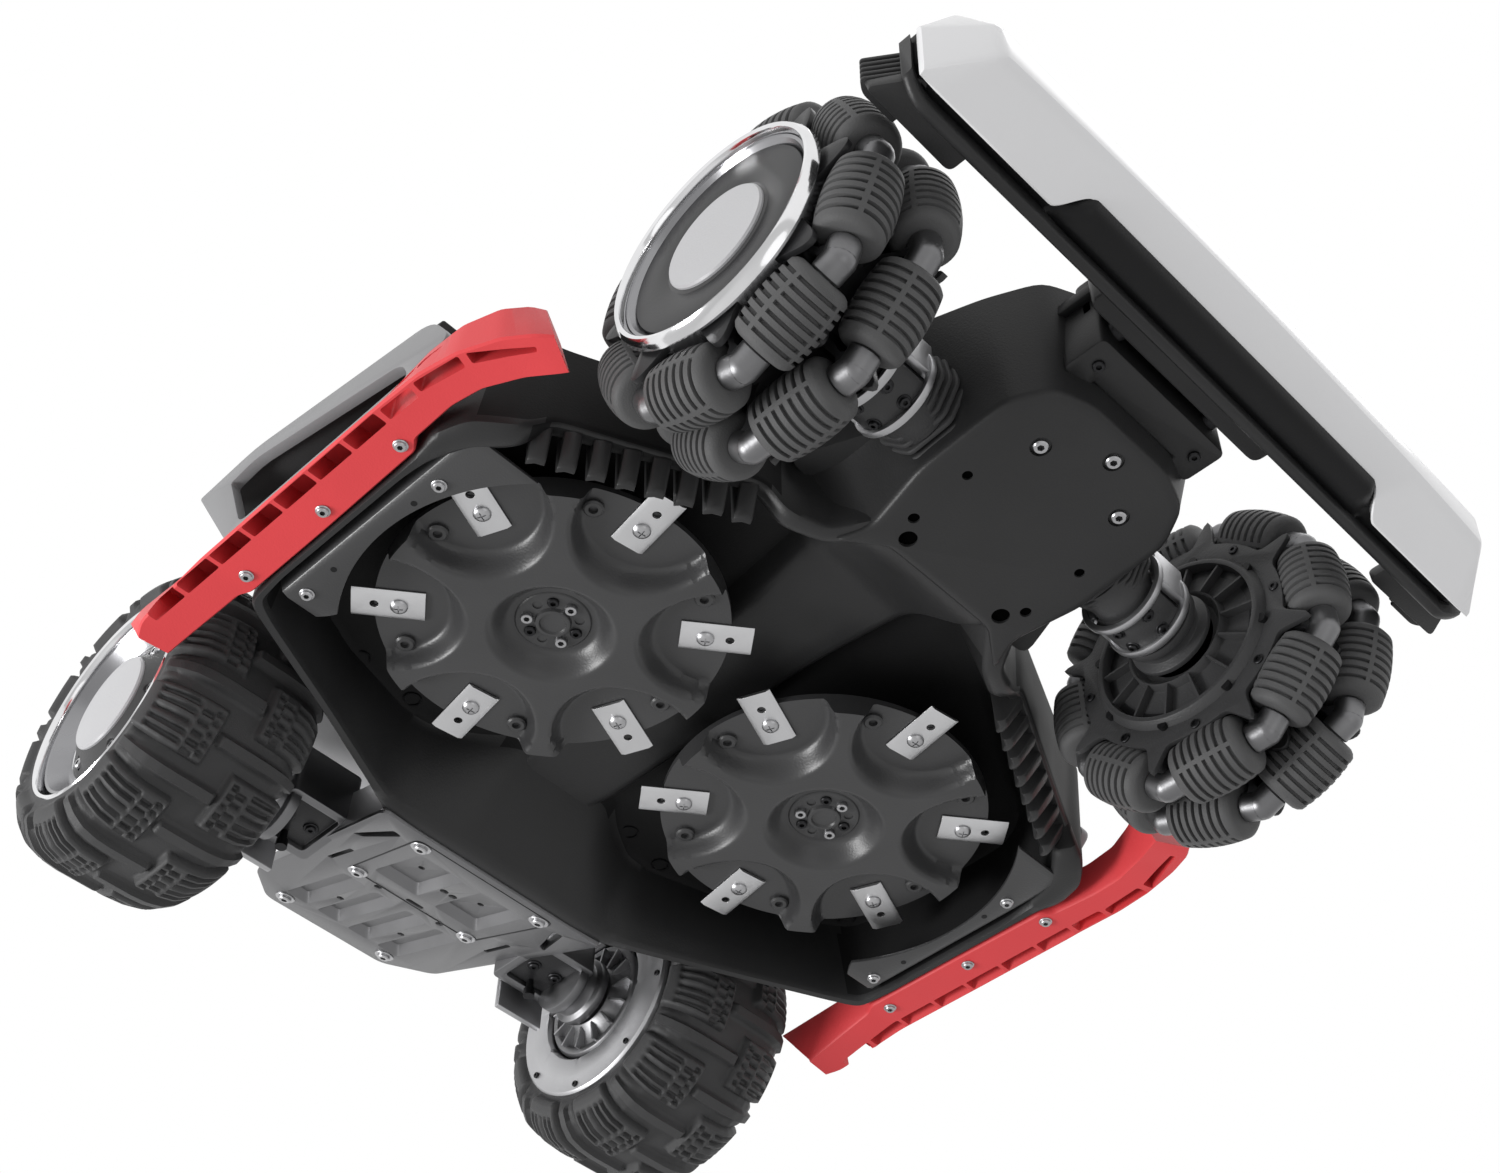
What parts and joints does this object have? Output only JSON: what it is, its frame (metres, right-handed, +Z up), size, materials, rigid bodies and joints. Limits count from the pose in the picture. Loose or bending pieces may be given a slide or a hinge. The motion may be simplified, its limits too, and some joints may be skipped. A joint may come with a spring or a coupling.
{
  "type": "robotic lawn mower",
  "caption": "Robotic lawn mower with two omni wheels in front, two driven lugged tyres behind, a sprung bumper and two bladed cutting discs under a black hull.",
  "frame": {"origin": "on the ground, under the middle of the mower's bounding box", "axes": "+X forward towards the bumper, +Y to the mower's left, +Z up"},
  "size_m": [0.69, 0.51, 0.273],
  "materials": {
    "hull_black": "fine-grained matt moulding",
    "frame_silver": "satin grey pressed sheet",
    "shell_white": "smooth semi-gloss moulding",
    "guard_red": "matt moulding",
    "bumper_white": "glossy moulding",
    "button_red": "semi-gloss moulding",
    "carriage_grey": "matt moulding",
    "arm_silver": "bead-blasted casting",
    "hub_grey": "satin moulding",
    "roller_rubber": "matt grooved rubber",
    "tyre_rubber": "matt moulded rubber",
    "disc_grey": "satin moulding",
    "blade_steel": "ground steel"
  },
  "bodies": {
    "chassis": {"lower_hull": "hull_black", "rear_frame": "frame_silver", "top_shell": "shell_white", "left_guard": "guard_red", "right_guard": "guard_red"},
    "bumper": {"bumper": "bumper_white"},
    "stop_button": {"stop_button": "button_red"},
    "cutter_carriage": {"cutter_carriage": "carriage_grey"},
    "front_left_arm": {"front_left_arm": "arm_silver"},
    "front_right_arm": {"front_right_arm": "arm_silver"},
    "front_left_hub": {"front_left_hub": "hub_grey"},
    "front_right_hub": {"front_right_hub": "hub_grey"},
    "left_disc": {"left_disc": "disc_grey"},
    "right_disc": {"right_disc": "disc_grey"},
    "rear_left_wheel": {"rear_left_wheel": "tyre_rubber"},
    "rear_right_wheel": {"rear_right_wheel": "tyre_rubber"},
    "left_blade_1": {"left_blade_1": "blade_steel"},
    "left_blade_2": {"left_blade_2": "blade_steel"},
    "left_blade_3": {"left_blade_3": "blade_steel"},
    "left_blade_4": {"left_blade_4": "blade_steel"},
    "left_blade_5": {"left_blade_5": "blade_steel"},
    "left_blade_6": {"left_blade_6": "blade_steel"},
    "right_blade_1": {"right_blade_1": "blade_steel"},
    "right_blade_2": {"right_blade_2": "blade_steel"},
    "right_blade_3": {"right_blade_3": "blade_steel"},
    "right_blade_4": {"right_blade_4": "blade_steel"},
    "right_blade_5": {"right_blade_5": "blade_steel"},
    "right_blade_6": {"right_blade_6": "blade_steel"},
    "front_left_inner_roller_1": {"front_left_inner_roller_1": "roller_rubber"},
    "front_left_inner_roller_2": {"front_left_inner_roller_2": "roller_rubber"},
    "front_left_inner_roller_3": {"front_left_inner_roller_3": "roller_rubber"},
    "front_left_inner_roller_4": {"front_left_inner_roller_4": "roller_rubber"},
    "front_left_inner_roller_5": {"front_left_inner_roller_5": "roller_rubber"},
    "front_left_inner_roller_6": {"front_left_inner_roller_6": "roller_rubber"},
    "front_left_inner_roller_7": {"front_left_inner_roller_7": "roller_rubber"},
    "front_left_inner_roller_8": {"front_left_inner_roller_8": "roller_rubber"},
    "front_left_outer_roller_1": {"front_left_outer_roller_1": "roller_rubber"},
    "front_left_outer_roller_2": {"front_left_outer_roller_2": "roller_rubber"},
    "front_left_outer_roller_3": {"front_left_outer_roller_3": "roller_rubber"},
    "front_left_outer_roller_4": {"front_left_outer_roller_4": "roller_rubber"},
    "front_left_outer_roller_5": {"front_left_outer_roller_5": "roller_rubber"},
    "front_left_outer_roller_6": {"front_left_outer_roller_6": "roller_rubber"},
    "front_left_outer_roller_7": {"front_left_outer_roller_7": "roller_rubber"},
    "front_left_outer_roller_8": {"front_left_outer_roller_8": "roller_rubber"},
    "front_right_inner_roller_1": {"front_right_inner_roller_1": "roller_rubber"},
    "front_right_inner_roller_2": {"front_right_inner_roller_2": "roller_rubber"},
    "front_right_inner_roller_3": {"front_right_inner_roller_3": "roller_rubber"},
    "front_right_inner_roller_4": {"front_right_inner_roller_4": "roller_rubber"},
    "front_right_inner_roller_5": {"front_right_inner_roller_5": "roller_rubber"},
    "front_right_inner_roller_6": {"front_right_inner_roller_6": "roller_rubber"},
    "front_right_inner_roller_7": {"front_right_inner_roller_7": "roller_rubber"},
    "front_right_inner_roller_8": {"front_right_inner_roller_8": "roller_rubber"},
    "front_right_outer_roller_1": {"front_right_outer_roller_1": "roller_rubber"},
    "front_right_outer_roller_2": {"front_right_outer_roller_2": "roller_rubber"},
    "front_right_outer_roller_3": {"front_right_outer_roller_3": "roller_rubber"},
    "front_right_outer_roller_4": {"front_right_outer_roller_4": "roller_rubber"},
    "front_right_outer_roller_5": {"front_right_outer_roller_5": "roller_rubber"},
    "front_right_outer_roller_6": {"front_right_outer_roller_6": "roller_rubber"},
    "front_right_outer_roller_7": {"front_right_outer_roller_7": "roller_rubber"},
    "front_right_outer_roller_8": {"front_right_outer_roller_8": "roller_rubber"}
  },
  "joints": [
    {"name": "bumper_push", "type": "slide", "parent": "chassis", "child": "bumper", "axis": [1, 0, 0], "range_m": [-0.004, 0], "stiffness_N_per_m": 400, "springref_m": 0.012},
    {"name": "cutter_height", "type": "slide", "parent": "chassis", "child": "cutter_carriage", "axis": [0, 0, 1], "range_m": [-0.02, 0.01]},
    {"name": "front_left_suspension", "type": "hinge", "parent": "chassis", "child": "front_left_arm", "pos_m": [0.196, 0.062, 0.088], "axis": [1, 0, 0], "range_deg": [0, 7], "stiffness_Nm_per_rad": 90, "springref_deg": -6.88},
    {"name": "front_right_suspension", "type": "hinge", "parent": "chassis", "child": "front_right_arm", "pos_m": [0.196, -0.062, 0.088], "axis": [-1, 0, 0], "range_deg": [0, 7], "stiffness_Nm_per_rad": 90, "springref_deg": -6.88},
    {"name": "front_left_wheel_spin", "type": "hinge", "parent": "front_left_arm", "child": "front_left_hub", "pos_m": [0.196, 0.165, 0.088], "axis": [0, 1, 0], "continuous": true},
    {"name": "front_right_wheel_spin", "type": "hinge", "parent": "front_right_arm", "child": "front_right_hub", "pos_m": [0.196, -0.165, 0.088], "axis": [0, 1, 0], "continuous": true},
    {"name": "left_disc_spin", "type": "hinge", "parent": "cutter_carriage", "child": "left_disc", "pos_m": [-0.02, 0.1, 0.085], "axis": [0, 0, 1], "continuous": true},
    {"name": "right_disc_spin", "type": "hinge", "parent": "cutter_carriage", "child": "right_disc", "pos_m": [-0.02, -0.1, 0.085], "axis": [0, 0, 1], "continuous": true},
    {"name": "rear_left_wheel_spin", "type": "hinge", "parent": "chassis", "child": "rear_left_wheel", "pos_m": [-0.239, 0.175, 0.088], "axis": [0, 1, 0], "continuous": true},
    {"name": "rear_right_wheel_spin", "type": "hinge", "parent": "chassis", "child": "rear_right_wheel", "pos_m": [-0.239, -0.175, 0.088], "axis": [0, 1, 0], "continuous": true},
    {"name": "stop_button_press", "type": "slide", "parent": "chassis", "child": "stop_button", "axis": [0, 0, 1], "range_m": [-0.004, 0], "stiffness_N_per_m": 800, "springref_m": 0.004},
    {"name": "left_blade_1_swing", "type": "hinge", "parent": "left_disc", "child": "left_blade_1", "pos_m": [0.02793, 0.16026, 0.0815], "axis": [0, 0, 1], "continuous": true},
    {"name": "left_blade_2_swing", "type": "hinge", "parent": "left_disc", "child": "left_blade_2", "pos_m": [-0.04822, 0.17164, 0.0815], "axis": [0, 0, 1], "continuous": true},
    {"name": "left_blade_3_swing", "type": "hinge", "parent": "left_disc", "child": "left_blade_3", "pos_m": [-0.09615, 0.11138, 0.0815], "axis": [0, 0, 1], "continuous": true},
    {"name": "left_blade_4_swing", "type": "hinge", "parent": "left_disc", "child": "left_blade_4", "pos_m": [-0.06793, 0.03974, 0.0815], "axis": [0, 0, 1], "continuous": true},
    {"name": "left_blade_5_swing", "type": "hinge", "parent": "left_disc", "child": "left_blade_5", "pos_m": [0.00822, 0.02836, 0.0815], "axis": [0, 0, 1], "continuous": true},
    {"name": "left_blade_6_swing", "type": "hinge", "parent": "left_disc", "child": "left_blade_6", "pos_m": [0.05615, 0.08862, 0.0815], "axis": [0, 0, 1], "continuous": true},
    {"name": "right_blade_1_swing", "type": "hinge", "parent": "right_disc", "child": "right_blade_1", "pos_m": [0.02793, -0.03974, 0.0815], "axis": [0, 0, 1], "continuous": true},
    {"name": "right_blade_2_swing", "type": "hinge", "parent": "right_disc", "child": "right_blade_2", "pos_m": [-0.04822, -0.02836, 0.0815], "axis": [0, 0, 1], "continuous": true},
    {"name": "right_blade_3_swing", "type": "hinge", "parent": "right_disc", "child": "right_blade_3", "pos_m": [-0.09615, -0.08862, 0.0815], "axis": [0, 0, 1], "continuous": true},
    {"name": "right_blade_4_swing", "type": "hinge", "parent": "right_disc", "child": "right_blade_4", "pos_m": [-0.06793, -0.16026, 0.0815], "axis": [0, 0, 1], "continuous": true},
    {"name": "right_blade_5_swing", "type": "hinge", "parent": "right_disc", "child": "right_blade_5", "pos_m": [0.00822, -0.17164, 0.0815], "axis": [0, 0, 1], "continuous": true},
    {"name": "right_blade_6_swing", "type": "hinge", "parent": "right_disc", "child": "right_blade_6", "pos_m": [0.05615, -0.11138, 0.0815], "axis": [0, 0, 1], "continuous": true},
    {"name": "front_left_inner_roller_1_spin", "type": "hinge", "parent": "front_left_hub", "child": "front_left_inner_roller_1", "pos_m": [0.267, 0.147, 0.088], "axis": [0, 0, 1], "continuous": true},
    {"name": "front_left_inner_roller_2_spin", "type": "hinge", "parent": "front_left_hub", "child": "front_left_inner_roller_2", "pos_m": [0.24621, 0.147, 0.1382], "axis": [-0.7071, 0, 0.7071], "continuous": true},
    {"name": "front_left_inner_roller_3_spin", "type": "hinge", "parent": "front_left_hub", "child": "front_left_inner_roller_3", "pos_m": [0.196, 0.147, 0.159], "axis": [-1, 0, 0], "continuous": true},
    {"name": "front_left_inner_roller_4_spin", "type": "hinge", "parent": "front_left_hub", "child": "front_left_inner_roller_4", "pos_m": [0.1458, 0.147, 0.1382], "axis": [-0.7071, 0, -0.7071], "continuous": true},
    {"name": "front_left_inner_roller_5_spin", "type": "hinge", "parent": "front_left_hub", "child": "front_left_inner_roller_5", "pos_m": [0.125, 0.147, 0.088], "axis": [0, 0, -1], "continuous": true},
    {"name": "front_left_inner_roller_6_spin", "type": "hinge", "parent": "front_left_hub", "child": "front_left_inner_roller_6", "pos_m": [0.1458, 0.147, 0.0378], "axis": [0.7071, 0, -0.7071], "continuous": true},
    {"name": "front_left_inner_roller_7_spin", "type": "hinge", "parent": "front_left_hub", "child": "front_left_inner_roller_7", "pos_m": [0.196, 0.147, 0.017], "axis": [1, 0, 0], "continuous": true},
    {"name": "front_left_inner_roller_8_spin", "type": "hinge", "parent": "front_left_hub", "child": "front_left_inner_roller_8", "pos_m": [0.24621, 0.147, 0.0378], "axis": [0.7071, 0, 0.7071], "continuous": true},
    {"name": "front_left_outer_roller_1_spin", "type": "hinge", "parent": "front_left_hub", "child": "front_left_outer_roller_1", "pos_m": [0.2616, 0.183, 0.11517], "axis": [-0.3827, 0, 0.9239], "continuous": true},
    {"name": "front_left_outer_roller_2_spin", "type": "hinge", "parent": "front_left_hub", "child": "front_left_outer_roller_2", "pos_m": [0.22317, 0.183, 0.1536], "axis": [-0.9239, 0, 0.3827], "continuous": true},
    {"name": "front_left_outer_roller_3_spin", "type": "hinge", "parent": "front_left_hub", "child": "front_left_outer_roller_3", "pos_m": [0.16883, 0.183, 0.1536], "axis": [-0.9239, 0, -0.3827], "continuous": true},
    {"name": "front_left_outer_roller_4_spin", "type": "hinge", "parent": "front_left_hub", "child": "front_left_outer_roller_4", "pos_m": [0.1304, 0.183, 0.11517], "axis": [-0.3827, 0, -0.9239], "continuous": true},
    {"name": "front_left_outer_roller_5_spin", "type": "hinge", "parent": "front_left_hub", "child": "front_left_outer_roller_5", "pos_m": [0.1304, 0.183, 0.06083], "axis": [0.3827, 0, -0.9239], "continuous": true},
    {"name": "front_left_outer_roller_6_spin", "type": "hinge", "parent": "front_left_hub", "child": "front_left_outer_roller_6", "pos_m": [0.16883, 0.183, 0.02241], "axis": [0.9239, 0, -0.3827], "continuous": true},
    {"name": "front_left_outer_roller_7_spin", "type": "hinge", "parent": "front_left_hub", "child": "front_left_outer_roller_7", "pos_m": [0.22317, 0.183, 0.02241], "axis": [0.9239, 0, 0.3827], "continuous": true},
    {"name": "front_left_outer_roller_8_spin", "type": "hinge", "parent": "front_left_hub", "child": "front_left_outer_roller_8", "pos_m": [0.2616, 0.183, 0.06083], "axis": [0.3827, 0, 0.9239], "continuous": true},
    {"name": "front_right_inner_roller_1_spin", "type": "hinge", "parent": "front_right_hub", "child": "front_right_inner_roller_1", "pos_m": [0.267, -0.147, 0.088], "axis": [0, 0, 1], "continuous": true},
    {"name": "front_right_inner_roller_2_spin", "type": "hinge", "parent": "front_right_hub", "child": "front_right_inner_roller_2", "pos_m": [0.24621, -0.147, 0.1382], "axis": [-0.7071, 0, 0.7071], "continuous": true},
    {"name": "front_right_inner_roller_3_spin", "type": "hinge", "parent": "front_right_hub", "child": "front_right_inner_roller_3", "pos_m": [0.196, -0.147, 0.159], "axis": [-1, 0, 0], "continuous": true},
    {"name": "front_right_inner_roller_4_spin", "type": "hinge", "parent": "front_right_hub", "child": "front_right_inner_roller_4", "pos_m": [0.1458, -0.147, 0.1382], "axis": [-0.7071, 0, -0.7071], "continuous": true},
    {"name": "front_right_inner_roller_5_spin", "type": "hinge", "parent": "front_right_hub", "child": "front_right_inner_roller_5", "pos_m": [0.125, -0.147, 0.088], "axis": [0, 0, -1], "continuous": true},
    {"name": "front_right_inner_roller_6_spin", "type": "hinge", "parent": "front_right_hub", "child": "front_right_inner_roller_6", "pos_m": [0.1458, -0.147, 0.0378], "axis": [0.7071, 0, -0.7071], "continuous": true},
    {"name": "front_right_inner_roller_7_spin", "type": "hinge", "parent": "front_right_hub", "child": "front_right_inner_roller_7", "pos_m": [0.196, -0.147, 0.017], "axis": [1, 0, 0], "continuous": true},
    {"name": "front_right_inner_roller_8_spin", "type": "hinge", "parent": "front_right_hub", "child": "front_right_inner_roller_8", "pos_m": [0.24621, -0.147, 0.0378], "axis": [0.7071, 0, 0.7071], "continuous": true},
    {"name": "front_right_outer_roller_1_spin", "type": "hinge", "parent": "front_right_hub", "child": "front_right_outer_roller_1", "pos_m": [0.2616, -0.183, 0.11517], "axis": [-0.3827, 0, 0.9239], "continuous": true},
    {"name": "front_right_outer_roller_2_spin", "type": "hinge", "parent": "front_right_hub", "child": "front_right_outer_roller_2", "pos_m": [0.22317, -0.183, 0.1536], "axis": [-0.9239, 0, 0.3827], "continuous": true},
    {"name": "front_right_outer_roller_3_spin", "type": "hinge", "parent": "front_right_hub", "child": "front_right_outer_roller_3", "pos_m": [0.16883, -0.183, 0.1536], "axis": [-0.9239, 0, -0.3827], "continuous": true},
    {"name": "front_right_outer_roller_4_spin", "type": "hinge", "parent": "front_right_hub", "child": "front_right_outer_roller_4", "pos_m": [0.1304, -0.183, 0.11517], "axis": [-0.3827, 0, -0.9239], "continuous": true},
    {"name": "front_right_outer_roller_5_spin", "type": "hinge", "parent": "front_right_hub", "child": "front_right_outer_roller_5", "pos_m": [0.1304, -0.183, 0.06083], "axis": [0.3827, 0, -0.9239], "continuous": true},
    {"name": "front_right_outer_roller_6_spin", "type": "hinge", "parent": "front_right_hub", "child": "front_right_outer_roller_6", "pos_m": [0.16883, -0.183, 0.02241], "axis": [0.9239, 0, -0.3827], "continuous": true},
    {"name": "front_right_outer_roller_7_spin", "type": "hinge", "parent": "front_right_hub", "child": "front_right_outer_roller_7", "pos_m": [0.22317, -0.183, 0.02241], "axis": [0.9239, 0, 0.3827], "continuous": true},
    {"name": "front_right_outer_roller_8_spin", "type": "hinge", "parent": "front_right_hub", "child": "front_right_outer_roller_8", "pos_m": [0.2616, -0.183, 0.06083], "axis": [0.3827, 0, 0.9239], "continuous": true}
  ]
}
